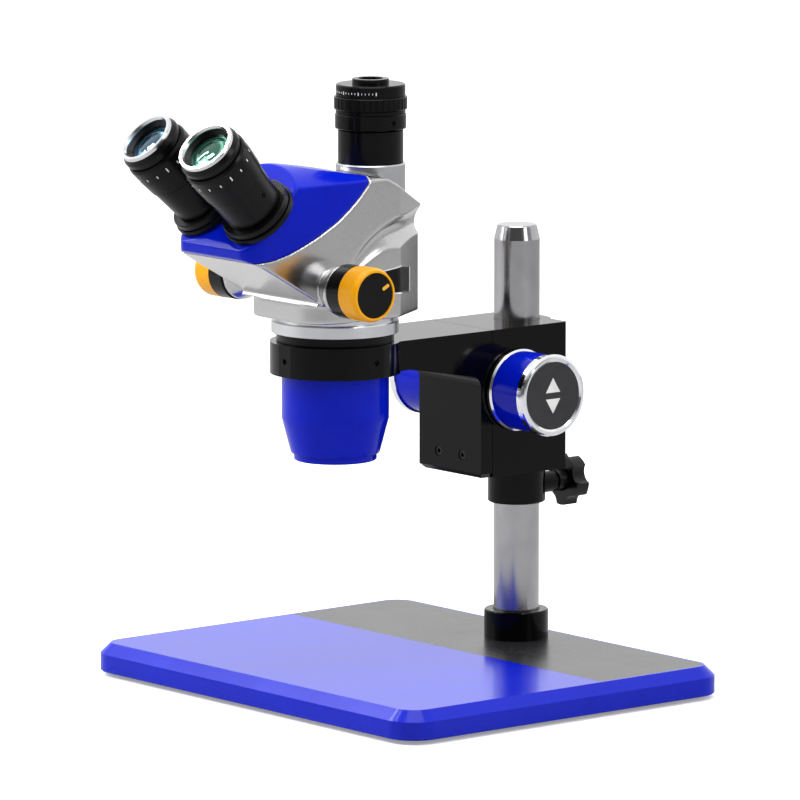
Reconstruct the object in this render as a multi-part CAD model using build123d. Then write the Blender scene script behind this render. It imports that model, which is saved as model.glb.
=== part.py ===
"""Trinocular stereo microscope on a column stand, built piece by piece.

Frame: X is the user's right, Y runs away from the user towards the column, Z is up.
The origin is on the desk under the middle of the whole outline.
Places below are counted from the middle of the base plate's underside; the export
moves every piece back by ORIGIN_BACK and up by the height of the rubber feet.
All lengths are in millimetres.
"""

import os
from math import acos
from math import cos
from math import pi
from math import radians
from math import sin
from math import sqrt
from math import tan

from build123d import *

# ---- base plate and column -------------------------------------------------
ORIGIN_BACK = 30.885
FOOT_H = 3.0
FOOT_R = 9.0
FOOT_X = 150.0
FOOT_Y = 116.0
BASE_W = 354.0
BASE_D = 285.0
BASE_H = 19.8
BASE_CORNER_R = 22.0
BASE_BEVEL_IN = 7.2
BASE_BEVEL_DOWN = 7.3
PANEL_T = 1.0
PANEL_FRONT_Y = 34.4
PANEL_RIM = 1.8
COLUMN_Y = 101.0
COLUMN_R = 16.0
COLUMN_SEAT = 4.0
COLUMN_TOP = 312.0
COLUMN_CONE_H = 10.0
COLUMN_CONE_IN = 2.2
COLUMN_THREAD_R = 5.0
COLLAR_R = 22.6
COLLAR_TOP = 40.0

# ---- focus block -----------------------------------------------------------
BUSH_GAP = 0.05
BUSH_WALL = 2.0
BUSH_IN_R = COLUMN_R + BUSH_GAP
BUSH_OUT_R = BUSH_IN_R + BUSH_WALL
HOUSING_BORE_R = BUSH_OUT_R + BUSH_GAP
BLOCK_HALF_W = 33.5
BLOCK_BOTTOM = 142.0
BLOCK_TOP = 245.5
PLATE_FRONT_Y = 40.3
SEAM_Y = 50.9
SEAM_GAP = 0.4
HOUSING_BACK_Y = 118.6
HOUSING_BOSS_R = 24.0
SLEEVE_R = 20.2
SLEEVE_BOTTOM = 116.5
RAIL_HALF_W = 16.5
RAIL_GAP = 0.3
CHANNEL_TOP = BLOCK_TOP - 2.0
KNOB_AXIS_Y = 73.0
KNOB_AXIS_Z = 202.0
FOCUS_TRAVEL = 19.0

# ---- gears (focus pinion and zoom pinion share one tooth form) -------------
GEAR_MODULE = 1.0
GEAR_TEETH = 14
GEAR_ANGLE = 20.0
GEAR_ADDENDUM = 0.8
GEAR_DEDENDUM = 1.15
GEAR_BACKLASH = 0.16
GEAR_R = GEAR_MODULE * GEAR_TEETH / 2
RACK_PITCH = pi * GEAR_MODULE
RACK_Y = KNOB_AXIS_Y - GEAR_R

# ---- focus knobs -----------------------------------------------------------
SHAFT_R = 5.0
SHAFT_GAP = 0.05
KNOB_R = 27.4
BEZEL_R = 28.6
DISC_R = 23.6
SEAT_R = 24.6
SEAT_T = 3.2
KNOB_ROOT_X = 34.0
KNOB_IN_X = 38.5
KNOB_ROOT_R = 28.6
KNOB_OUT_X = 66.0
KNOB_FACE_X = 72.8

# ---- clamp knob ------------------------------------------------------------
CLAMP_Z = 127.0
CLAMP_R = 18.0
CLAMP_LOBES = 5
CLAMP_FRONT_Y = 142.0
CLAMP_T = 12.0
CLAMP_STUD_R = 4.0

# ---- arm and holder ring ---------------------------------------------------
OPTIC_Y = -62.5
SPIGOT_R = 38.0
SPIGOT_FIT = 0.05
RING_WALL = 6.95
RING_BORE_R = SPIGOT_R + SPIGOT_FIT
RING_R = RING_BORE_R + RING_WALL
RING_BOTTOM = 223.5
ARM_UNDER_Z = 215.0
ARM_FILLET_R = 9.5
FLAT_DEPTH = 0.45
GRUB_R = 2.0

# ---- head ------------------------------------------------------------------
FLANGE_R = 44.0
FLANGE_BOTTOM = 251.6
FLANGE_TOP = 260.3
HEAD_BOTTOM = 263.5
HEAD_HALF_W = 42.0
HEAD_FRONT_Y = -171.0
HEAD_BACK_Y = -6.5
HEAD_REACH_Y = 0.8
HEAD_WALL = 3.0
CHIN_FRONT_Y = -112.0
CHIN_TOP = 277.0
CHIN_R = 22.0
NOSE_R = 37.0
NOSE_BOTTOM = 163.0
LENS_X = 12.5
PRISM_HALF = 8.0
PRISM_CLEAR = 0.4

# ---- zoom drive ------------------------------------------------------------
ZOOM_Y = -99.0
ZOOM_Z = 289.0
ZOOM_SHAFT_R = 3.0
ZOOM_FACE_X = 88.0
ZOOM_RING_R = 18.6
ZOOM_CAP_R = 15.5
ZOOM_TRAVEL = 9.2

# ---- eyepieces -------------------------------------------------------------
EYE_X = 27.2
EYE_Y = -149.8
EYE_Z = 341.6
EYE_TILT = 45.0
EYE_TOE = 6.0
EYE_LEN = 73.5
DISC_FLANGE_R = 26.2
TUBE_LOW_R = 20.3
TUBE_TOP_R = 21.4
TUBE_BORE_R = 15.5
INNER_SLEEVE_R = 17.5
DIOPTER_R = 23.2
PIVOT_UP = 14.0
PIVOT_R = 7.0
LENS_SWELL_R = 42.0

# ---- camera port -----------------------------------------------------------
PORT_Y = -31.0
PORT_SEAT_Z = 336.0
PORT_R = 23.9
PORT_TUBE_R = 22.5
PORT_CLAMP_R = 24.5
PORT_RING_R = 25.2
C_MOUNT_R = 12.7


def box_between(x0, x1, y0, y1, z0, z1):
    """A plain block given by its two corners."""
    middle = Pos((x0 + x1) / 2, (y0 + y1) / 2, (z0 + z1) / 2)
    return middle * Box(x1 - x0, y1 - y0, z1 - z0)


def turned(points):
    """A lathe part about Z from (radius, height) corners."""
    corners = [(r, 0, h) for r, h in points]
    outline = Polyline(*corners, close=True)
    return revolve(make_face(outline), Axis.Z, 360)


def upright(x, y, solid):
    """Moves a part turned about Z to the vertical axis through x, y."""
    return Pos(x, y, 0) * solid


def along_x(x, y, z, solid):
    """Lays a part turned about Z along +X, its origin going to x, y, z."""
    spot = Plane(origin=(x, y, z), x_dir=(0, 1, 0), z_dir=(1, 0, 0))
    return spot.location * solid


def along_minus_x(x, y, z, solid):
    """Lays a part turned about Z along -X, its origin going to x, y, z."""
    spot = Plane(origin=(x, y, z), x_dir=(0, 1, 0), z_dir=(-1, 0, 0))
    return spot.location * solid


def along_y(x, y, z, solid):
    """Lays a part turned about Z along +Y, its origin going to x, y, z."""
    spot = Plane(origin=(x, y, z), x_dir=(1, 0, 0), z_dir=(0, 1, 0))
    return spot.location * solid


def rod(radius, z0, z1):
    """A plain cylinder about Z between two heights."""
    return Pos(0, 0, (z0 + z1) / 2) * Cylinder(radius, z1 - z0)


def tube(outer, inner, z0, z1):
    """A plain tube about Z between two heights."""
    return rod(outer, z0, z1) - rod(inner, z0 - 1, z1 + 1)


def outline_x(points, x0, x1):
    """A side outline of (y, z) corners pushed along X from x0 to x1."""
    corners = [(x0, y, z) for y, z in points]
    face = make_face(Polyline(*corners, close=True))
    return extrude(face, x1 - x0, dir=(1, 0, 0))


def one_solid(shape):
    """The largest solid of a shape, for cuts that leave crumbs."""
    return max(shape.solids(), key=lambda s: s.volume)


# ---- tooth forms -----------------------------------------------------------


def gear_outline():
    """Corners of the small pinion: true involute flanks above the base circle."""
    base = GEAR_R * cos(radians(GEAR_ANGLE))
    tip = GEAR_R + GEAR_ADDENDUM * GEAR_MODULE
    root = GEAR_R - GEAR_DEDENDUM * GEAR_MODULE
    half_at_pitch = pi / 2 / GEAR_TEETH - GEAR_BACKLASH / 2 / GEAR_R
    inv_pitch = tan(radians(GEAR_ANGLE)) - radians(GEAR_ANGLE)
    flank = []
    steps = 6
    for i in range(steps + 1):
        r = base + (tip - base) * i / steps
        a = acos(min(1.0, base / r))
        flank.append((r, half_at_pitch + inv_pitch - (tan(a) - a)))
    points = []
    for k in range(GEAR_TEETH):
        mid = 2 * pi * k / GEAR_TEETH
        lower = [(root, mid - flank[0][1] * 1.02)]
        lower += [(r, mid - t) for r, t in flank]
        upper = [(r, mid + t) for r, t in reversed(flank)]
        upper += [(root, mid + flank[0][1] * 1.02)]
        for r, t in lower + upper:
            points.append((r * cos(t), r * sin(t)))
    return points


def rack_points(y_pitch, y_back, z_low, z_high, z_gap):
    """Side outline (y, z) of a rack whose teeth point to +Y.

    z_gap is the height of one tooth's middle; the others follow at the pitch.
    """
    slope = tan(radians(GEAR_ANGLE))
    half = RACK_PITCH / 4 - GEAR_BACKLASH / 2
    tip_y = y_pitch + GEAR_ADDENDUM
    root_y = y_pitch - GEAR_DEDENDUM
    tip_half = half - GEAR_ADDENDUM * slope
    root_half = half + GEAR_DEDENDUM * slope
    count_down = int((z_gap - z_low - root_half) / RACK_PITCH)
    count_up = int((z_high - z_gap - root_half) / RACK_PITCH)
    points = [(y_back, z_low), (root_y, z_low)]
    for k in range(-count_down, count_up + 1):
        mid = z_gap + k * RACK_PITCH
        points.append((root_y, mid - root_half))
        points.append((tip_y, mid - tip_half))
        points.append((tip_y, mid + tip_half))
        points.append((root_y, mid + root_half))
    points.append((root_y, z_high))
    points.append((y_back, z_high))
    return points


def pinion(length):
    """The pinion about Z, its first tooth towards local +X."""
    corners = [(x, y, 0) for x, y in gear_outline()]
    face = make_face(Polyline(*corners, close=True))
    return extrude(face, length, dir=(0, 0, 1))


# ---- stand -----------------------------------------------------------------


def make_base_plate():
    plan = RectangleRounded(BASE_W, BASE_D, BASE_CORNER_R)
    plate = extrude(plan, BASE_H)
    top = plate.faces().sort_by(Axis.Z)[-1]
    plate = chamfer(top.edges(), BASE_BEVEL_DOWN, BASE_BEVEL_IN, reference=top)
    under = plate.faces().sort_by(Axis.Z)[0]
    plate = chamfer(under.edges(), 0.8)
    plate -= panel_block(0.0, PANEL_T)
    seat = rod(COLUMN_R + 0.02, BASE_H - COLUMN_SEAT, BASE_H + 1)
    plate -= upright(0, COLUMN_Y, seat)
    plate -= upright(0, COLUMN_Y, rod(5.5, -1, BASE_H))
    plate -= upright(0, COLUMN_Y, rod(9.5, -1, 8))
    for x in (-FOOT_X, FOOT_X):
        for y in (-FOOT_Y, FOOT_Y):
            plate -= upright(x, y, rod(2.1, -1, 9))
    return plate


def panel_block(shrink, depth):
    """The rear panel's outline, as cutter (shrink 0) or as the panel itself."""
    half_w = BASE_W / 2 - BASE_BEVEL_IN - PANEL_RIM - shrink
    back = BASE_D / 2 - BASE_BEVEL_IN - PANEL_RIM - shrink
    front = PANEL_FRONT_Y + shrink
    plan = RectangleRounded(2 * half_w, 2 * back, 13 - shrink)
    block = Pos(0, 0, BASE_H - depth) * extrude(plan, depth)
    keep = box_between(-half_w - 1, half_w + 1, front, back + 1, 0, BASE_H + 5)
    return block & keep


def make_rear_panel():
    panel = panel_block(0.08, PANEL_T)
    panel -= upright(0, COLUMN_Y, rod(COLUMN_R + 0.3, 0, BASE_H + 5))
    return panel


def make_rubber_feet():
    foot = turned([(0, -FOOT_H), (FOOT_R - 1, -FOOT_H), (FOOT_R, 0), (0, 0)])
    stem = rod(2.0, -0.5, 7)
    one = foot + stem
    feet = []
    for x in (-FOOT_X, FOOT_X):
        for y in (-FOOT_Y, FOOT_Y):
            feet.append(upright(x, y, one))
    return feet


def make_column():
    low = BASE_H - COLUMN_SEAT
    points = [
        (0, low),
        (COLUMN_R - 0.5, low),
        (COLUMN_R, low + 0.5),
        (COLUMN_R, COLUMN_TOP - COLUMN_CONE_H),
        (COLUMN_R - COLUMN_CONE_IN, COLUMN_TOP - 0.8),
        (COLUMN_R - COLUMN_CONE_IN - 0.8, COLUMN_TOP),
        (0, COLUMN_TOP),
    ]
    post = turned(points) - rod(COLUMN_THREAD_R, low - 1, low + 32)
    return upright(0, COLUMN_Y, post)


def make_column_screw():
    low = BASE_H - COLUMN_SEAT
    shank = rod(COLUMN_THREAD_R, 7.0, low + 28)
    head = turned([(0, 0.5), (7.6, 0.5), (8.0, 0.9), (8.0, 8.0), (0, 8.0)])
    socket = Pos(0, 0, 0.5) * extrude(RegularPolygon(4.0, 6), 5)
    return upright(0, COLUMN_Y, shank + head - socket)


def make_foot_collar():
    inner = COLUMN_R + 0.02
    points = [
        (inner, BASE_H),
        (COLLAR_R, BASE_H),
        (COLLAR_R, COLLAR_TOP - 0.8),
        (COLLAR_R - 0.8, COLLAR_TOP),
        (inner + 1.0, COLLAR_TOP),
        (inner, COLLAR_TOP - 1.0),
    ]
    hole = along_y(0, COLUMN_Y, 30, rod(GRUB_R + 0.05, 10, 30))
    collar = upright(0, COLUMN_Y, turned(points))
    return collar - hole


def make_guide_bush():
    bush = tube(BUSH_OUT_R, BUSH_IN_R, SLEEVE_BOTTOM + 1.5, BLOCK_TOP - 2.5)
    return upright(0, COLUMN_Y, bush)


# ---- focus block -----------------------------------------------------------


def make_focus_housing():
    front = SEAM_Y
    body = box_between(
        -BLOCK_HALF_W, BLOCK_HALF_W, front, HOUSING_BACK_Y, BLOCK_BOTTOM, BLOCK_TOP
    )
    body = chamfer(body.edges().filter_by(Axis.Z).sort_by(Axis.Y)[-2:], 1.2)
    body = body + upright(0, COLUMN_Y, rod(HOUSING_BOSS_R, BLOCK_BOTTOM, BLOCK_TOP))
    mouth_top = BLOCK_TOP + 1
    body -= upright(0, COLUMN_Y, rod(HOUSING_BORE_R, BLOCK_BOTTOM - 1, BLOCK_TOP - 2))
    body -= upright(0, COLUMN_Y, rod(COLUMN_R + 0.35, BLOCK_TOP - 3, mouth_top))
    half = RAIL_HALF_W + RAIL_GAP
    body -= box_between(
        -half, half, front - 1, front + 12.0, BLOCK_BOTTOM - 1, CHANNEL_TOP
    )
    pocket = box_between(
        -12, 12, front + 5, KNOB_AXIS_Y + 8.4, KNOB_AXIS_Z - 9, KNOB_AXIS_Z + 9
    )
    body -= pocket
    body -= box_between(
        -8.5, 8.5, front + 5, front + 18.5, BLOCK_BOTTOM - 1, CHANNEL_TOP
    )
    through = rod(SHAFT_R + SHAFT_GAP, -BLOCK_HALF_W - 1, BLOCK_HALF_W + 1)
    body -= along_x(0, KNOB_AXIS_Y, KNOB_AXIS_Z, through)
    return one_solid(body)


def make_clamp_sleeve():
    bore = HOUSING_BORE_R
    points = [
        (bore, SLEEVE_BOTTOM + 1),
        (bore + 0.8, SLEEVE_BOTTOM),
        (SLEEVE_R - 0.8, SLEEVE_BOTTOM),
        (SLEEVE_R, SLEEVE_BOTTOM + 0.8),
        (SLEEVE_R, BLOCK_BOTTOM),
        (bore, BLOCK_BOTTOM),
    ]
    sleeve = upright(0, COLUMN_Y, turned(points))
    boss = along_y(0, COLUMN_Y + 17.0, CLAMP_Z, rod(7.5, 0, 15.5))
    sleeve = sleeve + boss
    sleeve -= upright(0, COLUMN_Y, rod(bore, SLEEVE_BOTTOM - 1, BLOCK_BOTTOM + 1))
    sleeve -= along_y(0, COLUMN_Y, CLAMP_Z, rod(CLAMP_STUD_R + SHAFT_GAP, 10, 40))
    return one_solid(sleeve)


def make_knob_seats():
    points = [(8.0, 0), (SEAT_R, 0), (SEAT_R, SEAT_T - 0.8), (SEAT_R - 0.8, SEAT_T)]
    ring = turned(points + [(8.0, SEAT_T)])
    right = along_x(BLOCK_HALF_W, KNOB_AXIS_Y, KNOB_AXIS_Z, ring)
    left = along_minus_x(-BLOCK_HALF_W, KNOB_AXIS_Y, KNOB_AXIS_Z, ring)
    return [left, right]


def make_clamp_knob():
    """Star knob: a hub with rounded lobes and scooped flanks between them."""
    plan = Circle(CLAMP_R)
    reach = CLAMP_R + 3.6
    for k in range(CLAMP_LOBES):
        a = radians(90 + 36 + 360 / CLAMP_LOBES * k)
        plan -= Pos(reach * cos(a), reach * sin(a)) * Circle(8.0)
    star = extrude(plan, CLAMP_T)
    star = chamfer(star.faces().sort_by(Axis.Z)[-1].edges(), 1.2)
    hub = turned([(0, -6), (7.0, -6), (8.2, 0.5), (0, 0.5)])
    knob = star + hub
    knob -= rod(CLAMP_STUD_R, -7, 7)
    return along_y(0, CLAMP_FRONT_Y, CLAMP_Z, knob)


def make_clamp_stud():
    low = COLUMN_Y + BUSH_OUT_R + 0.3
    stud = rod(CLAMP_STUD_R, low, CLAMP_FRONT_Y + 6.5)
    return along_y(0, 0, CLAMP_Z, stud)


# ---- focus drive -----------------------------------------------------------


def make_pinion_shaft():
    reach = KNOB_FACE_X - 3.2
    shaft = along_x(0, KNOB_AXIS_Y, KNOB_AXIS_Z, rod(SHAFT_R, -reach, reach))
    gear = pinion(20)
    spot = Plane(
        origin=(-10, KNOB_AXIS_Y, KNOB_AXIS_Z),
        x_dir=(0, -1, 0),
        z_dir=(1, 0, 0),
    )
    turn = Rot(0, 0, 180 / GEAR_TEETH)
    return shaft + spot.location * (turn * gear)


def knob_barrel():
    """One coloured knob barrel about Z, root at 0."""
    length = KNOB_OUT_X - KNOB_IN_X
    points = [
        (SHAFT_R, 0),
        (KNOB_R - 0.8, 0),
        (KNOB_R, 0.8),
        (KNOB_R, length),
        (SHAFT_R, length),
    ]
    return turned(points)


def knob_bezel():
    """The bevelled bright ring on the outer end of a knob."""
    depth = KNOB_FACE_X - KNOB_OUT_X
    points = [
        (SHAFT_R, 0),
        (BEZEL_R - 0.3, 0),
        (BEZEL_R, 0.3),
        (BEZEL_R, depth - 2.2),
        (BEZEL_R - 0.5, depth - 1.0),
        (BEZEL_R - 1.4, depth - 0.3),
        (BEZEL_R - 2.4, depth),
        (DISC_R + 1.4, depth),
        (DISC_R + 0.05, depth - 1.0),
        (DISC_R + 0.05, depth - 3.0),
        (SHAFT_R, depth - 3.0),
    ]
    return turned(points)


def knob_root():
    """The bright ring between the block and the coloured barrel, hollow at the back."""
    depth = KNOB_IN_X - KNOB_ROOT_X
    web = BLOCK_HALF_W + SEAT_T + 0.3 - KNOB_ROOT_X
    points = [
        (SHAFT_R, web),
        (SEAT_R + 0.5, web),
        (SEAT_R + 0.5, 0),
        (KNOB_ROOT_R - 0.8, 0),
        (KNOB_ROOT_R, 0.8),
        (KNOB_ROOT_R, depth - 1.2),
        (KNOB_R, depth),
        (SHAFT_R, depth),
    ]
    return turned(points)


def knob_disc():
    """The flat end disc set into the bright ring."""
    return turned([(0, 0.0), (DISC_R, 0.0), (DISC_R, 1.8), (DISC_R - 0.3, 2.0), (0, 2.0)])


def make_knobs():
    y = KNOB_AXIS_Y
    z = KNOB_AXIS_Z
    barrels = {
        "focus_knob_right": along_x(KNOB_IN_X, y, z, knob_barrel()),
        "focus_knob_left": along_minus_x(-KNOB_IN_X, y, z, knob_barrel()),
    }
    bezels = [
        along_minus_x(-KNOB_OUT_X, y, z, knob_bezel()),
        along_x(KNOB_OUT_X, y, z, knob_bezel()),
        along_minus_x(-KNOB_ROOT_X, y, z, knob_root()),
        along_x(KNOB_ROOT_X, y, z, knob_root()),
    ]
    disc_x = KNOB_FACE_X - 3.0
    discs = [
        along_minus_x(-disc_x, y, z, knob_disc()),
        along_x(disc_x, y, z, knob_disc()),
    ]
    return barrels, bezels, discs


# ---- carriage --------------------------------------------------------------


def make_holder_arm():
    """Front plate, tapering arm and holder ring, one casting."""
    back = SEAM_Y - SEAM_GAP
    plate = box_between(
        -BLOCK_HALF_W, BLOCK_HALF_W, PLATE_FRONT_Y, back, BLOCK_BOTTOM, BLOCK_TOP
    )
    foot_edges = plate.faces().sort_by(Axis.Z)[0].edges().sort_by(Axis.Y)[:3]
    plate = chamfer(foot_edges, 3.2)
    r = ARM_FILLET_R
    corner_y = PLATE_FRONT_Y - r
    corner_z = ARM_UNDER_Z - r
    side = [(OPTIC_Y, BLOCK_TOP), (OPTIC_Y, RING_BOTTOM), (-24.0, RING_BOTTOM + 1.5)]
    side.append((corner_y, ARM_UNDER_Z))
    for k in range(1, 7):
        a = radians(90 - 15 * k)
        side.append((corner_y + r * cos(a), corner_z + r * sin(a)))
    side.append((PLATE_FRONT_Y + 1, corner_z))
    side.append((PLATE_FRONT_Y + 1, BLOCK_TOP))
    arm = outline_x(side, -BLOCK_HALF_W, BLOCK_HALF_W)
    ring = upright(0, OPTIC_Y, rod(RING_R, RING_BOTTOM, BLOCK_TOP))
    flat = RING_R - FLAT_DEPTH
    for k in range(3):
        block = Pos(flat + 5, 0, 0) * Box(10, 12.5, 60)
        placed = Rot(0, 0, -180 + 90 * k) * block
        ring -= Pos(0, OPTIC_Y, (RING_BOTTOM + BLOCK_TOP) / 2) * placed
    whole = plate + arm + ring
    whole -= upright(0, OPTIC_Y, rod(RING_BORE_R, RING_BOTTOM - 5, BLOCK_TOP + 5))
    low = BLOCK_TOP - 0.8
    high = BLOCK_TOP + 0.4
    mouth = turned([(0, low), (RING_BORE_R, low), (RING_BORE_R + 1.2, high), (0, high)])
    whole -= upright(0, OPTIC_Y, mouth)
    for spot in ring_screw_spots():
        whole -= spot.location * rod(GRUB_R + 0.05, -RING_R - 2, -RING_BORE_R + 1)
    for x in (-12.7, 12.7):
        whole -= along_y(x, PLATE_FRONT_Y, 156.5, rod(2.1, -1, 12))
        whole -= along_y(x, PLATE_FRONT_Y, 156.5, rod(3.6, -1, 4.2))
    return one_solid(whole)


def ring_screw_spots():
    """Frames at the ring's centre whose -Z points out through each set screw."""
    z = (RING_BOTTOM + BLOCK_TOP) / 2
    spots = []
    for direction in ((1, 0, 0), (0, 1, 0), (-1, 0, 0)):
        spots.append(Plane(origin=(0, OPTIC_Y, z), z_dir=direction))
    return spots


def grub(length):
    """A set screw about Z with a hexagon socket in its low end."""
    body = turned([(0, 0), (GRUB_R - 0.3, 0), (GRUB_R, 0.3), (GRUB_R, length), (0, length)])
    return body - extrude(RegularPolygon(1.1, 6), 1.8)


def make_ring_screws():
    screws = []
    for spot in ring_screw_spots():
        screws.append(spot.location * (Pos(0, 0, -RING_R + 1.6) * grub(4.6)))
    return screws


def make_slide_rail():
    """Dovetail rail on the back of the front plate, rack teeth cut into it."""
    low = 150.0
    high = CHANNEL_TOP - FOCUS_TRAVEL - 0.3
    y0 = SEAM_Y - SEAM_GAP
    rail = box_between(-RAIL_HALF_W, RAIL_HALF_W, y0, y0 + 8.0, low, high)
    for side in (-1, 1):
        x = side * RAIL_HALF_W
        wedge = Polyline(
            (x - side * 2.5, y0, low),
            (x + side, y0, low),
            (x + side, y0 + 7.0, low),
            close=True,
        )
        rail -= extrude(make_face(wedge), high - low, dir=(0, 0, 1))
    teeth = rack_points(RACK_Y, y0 + 7.5, low + 4, high, KNOB_AXIS_Z)
    rail = rail + outline_x(teeth, -8.0, 8.0)
    for x in (-12.7, 12.7):
        rail -= along_y(x, y0, 156.5, rod(1.9, -1, 6))
    return one_solid(rail)


def make_slide_screws():
    screws = []
    for x in (-12.7, 12.7):
        head = turned([(0, 0.6), (3.2, 0.6), (3.5, 0.9), (3.5, 4.2), (0, 4.2)])
        shank = rod(1.9, 4.0, 14.5)
        one = head + shank - Pos(0, 0, 0.6) * extrude(RegularPolygon(1.7, 6), 2.2)
        screws.append(along_y(x, PLATE_FRONT_Y, 156.5, one))
    return screws


# ---- head ------------------------------------------------------------------

SPLIT_LINE = [
    (-180.0, 311.0),
    (-163.0, 311.2),
    (-149.0, 312.3),
    (-136.0, 315.3),
    (-125.0, 319.2),
    (-110.0, 325.4),
    (-94.0, 333.9),
    (-84.0, 341.2),
    (-75.0, 348.9),
    (-67.5, 357.0),
    (-58.5, 371.0),
]


def head_side(inset):
    """Side outline of the head, pulled in by the wall where asked."""
    points = [
        (HEAD_BACK_Y, HEAD_BOTTOM),
        (CHIN_FRONT_Y, HEAD_BOTTOM),
        (CHIN_FRONT_Y, CHIN_TOP),
        (CHIN_FRONT_Y + 1.5, CHIN_TOP + 3.0),
        (-160.0, 308.2),
        (HEAD_FRONT_Y + 0.5, 313.5),
        (HEAD_FRONT_Y, 319.5),
        (-168.8, 323.6),
        (-117.2, 372.0),
        (-50.0, 360.3),
        (-30.5, 350.2),
        (HEAD_REACH_Y, 336.0),
        (HEAD_BACK_Y, 322.0),
    ]
    corners = [(0, y, z) for y, z in points]
    face = make_face(Polyline(*corners, close=True))
    if inset:
        face = offset(face, amount=-inset, kind=Kind.INTERSECTION)
    return face


def head_plan(inset):
    """Plan outline of the head: rounded front, boat tail round the port."""
    w = HEAD_HALF_W
    corners = [
        (w, HEAD_FRONT_Y, 0),
        (w, -40.0, 0),
        (17.5, HEAD_REACH_Y, 0),
        (-17.5, HEAD_REACH_Y, 0),
        (-w, -40.0, 0),
        (-w, HEAD_FRONT_Y, 0),
    ]
    face = make_face(Polyline(*corners, close=True))
    face = fillet(face.vertices().sort_by(Axis.Y)[2:], 9.0)
    face = fillet(face.vertices().sort_by(Axis.Y)[:2], 14.0)
    if inset:
        face = offset(face, amount=-inset, kind=Kind.ARC)
    return face


def head_front(inset):
    """Front outline: slight draft on the sides and a crowned top."""
    w = HEAD_HALF_W - inset
    top = 371.6 - inset
    edge = 359.6 - inset
    rim = Polyline(
        (-w, 0, edge),
        (-w, 0, HEAD_BOTTOM - 20),
        (w, 0, HEAD_BOTTOM - 20),
        (w, 0, edge),
    )
    crown = ThreePointArc((w, 0, edge), (0, 0, top), (-w, 0, edge))
    return make_face(rim + crown)


def head_envelope(inset):
    """The head's whole outer form, or its hollow when inset by the wall."""
    side = extrude(head_side(inset), 60, dir=(1, 0, 0), both=True)
    plan = extrude(Pos(0, 0, 200) * head_plan(inset), 220, dir=(0, 0, 1))
    front = extrude(head_front(inset), 260, dir=(0, 1, 0), both=True)
    form = side & plan & front
    for sign in (-1, 1):
        lift = -0.3 - inset
        form -= eye_frame(sign).location * (Pos(0, 0, 30 + lift) * Box(180, 66, 60))
        form -= chin_corner(sign, inset)
    return one_solid(form)


def chin_corner(sign, inset):
    """What is cut away to round the chin under the sloping front."""
    r = CHIN_R
    x = sign * (HEAD_HALF_W - r)
    y = CHIN_FRONT_Y + r
    side = HEAD_HALF_W + 5
    low = HEAD_BOTTOM - 5
    high = CHIN_TOP + inset
    corner = box_between(min(x, sign * side), max(x, sign * side), y - r - 5, y, low, high)
    return corner - upright(x, y, rod(r - inset, low - 1, high + 1))


def above_split(drop):
    """Everything on the cover's side of the split line."""
    line = [(y, z - drop) for y, z in SPLIT_LINE]
    line = [(-200.0, 311.0 - drop)] + line
    line += [(-58.5, 420.0), (-200.0, 420.0)]
    return outline_x(line, -80, 80)


def zoom_holes(radius):
    """A bore through the head for the zoom shaft."""
    return along_x(0, ZOOM_Y, ZOOM_Z, rod(radius, -120, 120))


def make_head_shell(outer, inner):
    hollow = inner
    for sign in (-1, 1):
        hollow -= side_groove(sign, HEAD_WALL)
    shell = outer - hollow
    floor_hole = upright(0, OPTIC_Y, rod(30.0, HEAD_BOTTOM - 5, HEAD_BOTTOM + 20))
    boss = turned(
        [(ZOOM_SHAFT_R, 0), (10.0, 0), (17.8, 15.5), (17.8, 18.5), (ZOOM_SHAFT_R, 18.5)]
    )
    start = HEAD_HALF_W - 4.0
    shell = shell - above_split(0.0)
    shell = shell + along_x(start, ZOOM_Y, ZOOM_Z, boss)
    shell = shell + along_minus_x(-start, ZOOM_Y, ZOOM_Z, boss)
    shell -= zoom_holes(ZOOM_SHAFT_R + SHAFT_GAP)
    shell -= floor_hole
    shell -= upright(0, PORT_Y, rod(19.5, 325, 380))
    front_half = box_between(-40, 40, -90, PORT_Y - 9.8, 300, 400)
    shell -= upright(0, PORT_Y, rod(PORT_R + 3.0, 350.0, 380)) & front_half
    shell -= upright(0, PORT_Y, rod(PORT_R + 0.2, PORT_SEAT_Z, 380))
    for sign in (-1, 1):
        shell -= side_groove(sign)
    return one_solid(shell)


GROOVE_LINE = [
    (11.0, 11.6, 327.0),
    (21.2, -5.4, 326.5),
    (35.5, -30.0, 324.0),
    (41.0, -47.5, 321.3),
    (42.0, -58.7, 316.8),
    (42.0, -71.0, 308.8),
    (42.0, -86.0, 295.5),
]
GROOVE_OUT = [
    (0.857, 0.515),
    (0.857, 0.515),
    (0.90, 0.436),
    (0.98, 0.2),
    (1.0, 0.0),
    (1.0, 0.0),
    (1.0, 0.0),
]
GROOVE_R = [11.5, 11.5, 11.5, 11.0, 10.0, 8.5, 7.0]
GROOVE_DEPTH = [4.2, 4.2, 4.0, 3.6, 3.2, 2.2, 0.6]


def side_groove(sign, grow=0.0):
    """Scooped groove that sweeps from the back corner down and forward.

    The same groove made larger by the wall thickness keeps the wall behind it.
    """
    centres = []
    for spot, out, r, deep in zip(GROOVE_LINE, GROOVE_OUT, GROOVE_R, GROOVE_DEPTH):
        away = r - deep
        x = spot[0] + out[0] * away
        centres.append(Vector(sign * x, spot[1] + out[1] * away, spot[2]))
    sections = []
    for i, centre in enumerate(centres):
        before = centres[max(i - 1, 0)]
        after = centres[min(i + 1, len(centres) - 1)]
        way = (after - before).normalized()
        up = Vector(0, 0, 1) - way * way.Z
        spot = Plane(origin=centre, x_dir=up, z_dir=way)
        sections.append(spot * Circle(GROOVE_R[i] + grow))
    return loft(sections)


def make_top_cover(outer, inner):
    cover = (outer - inner) & above_split(0.0)
    for sign in (-1, 1):
        frame = pivot_frame(sign)
        cover -= frame.location * rod(PIVOT_R + 0.1, -30, 20)
    return one_solid(cover)


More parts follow.
